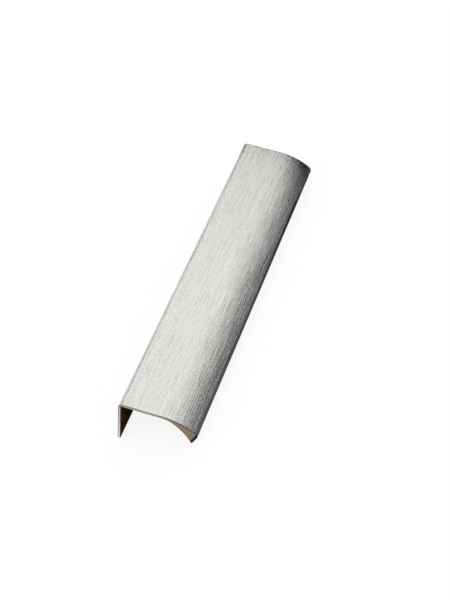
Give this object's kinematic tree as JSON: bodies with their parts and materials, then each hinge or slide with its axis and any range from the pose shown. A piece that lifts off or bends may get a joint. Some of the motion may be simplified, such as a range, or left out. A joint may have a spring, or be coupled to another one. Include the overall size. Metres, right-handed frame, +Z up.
{
  "type": "handleless finger pull profile",
  "caption": "Brushed metal edge pull: extruded profile that screws behind a cabinet door or drawer front and curves over its edge into a finger lip.",
  "frame": {"origin": "centre of the footprint, on the floor under the resting profile", "axes": "+Y along the length, +X from the flange towards the finger lip, +Z up; the profile rests on the flange's foot and the lip's tip, turned about 19 degrees about Y from its fitted position"},
  "size_m": [0.0438, 0.2, 0.0243],
  "materials": {
    "profile": "brushed along the length, stainless-steel look; plain sawn ends"
  },
  "bodies": {
    "root": {"finger_pull_profile": "profile"}
  },
  "joints": []
}
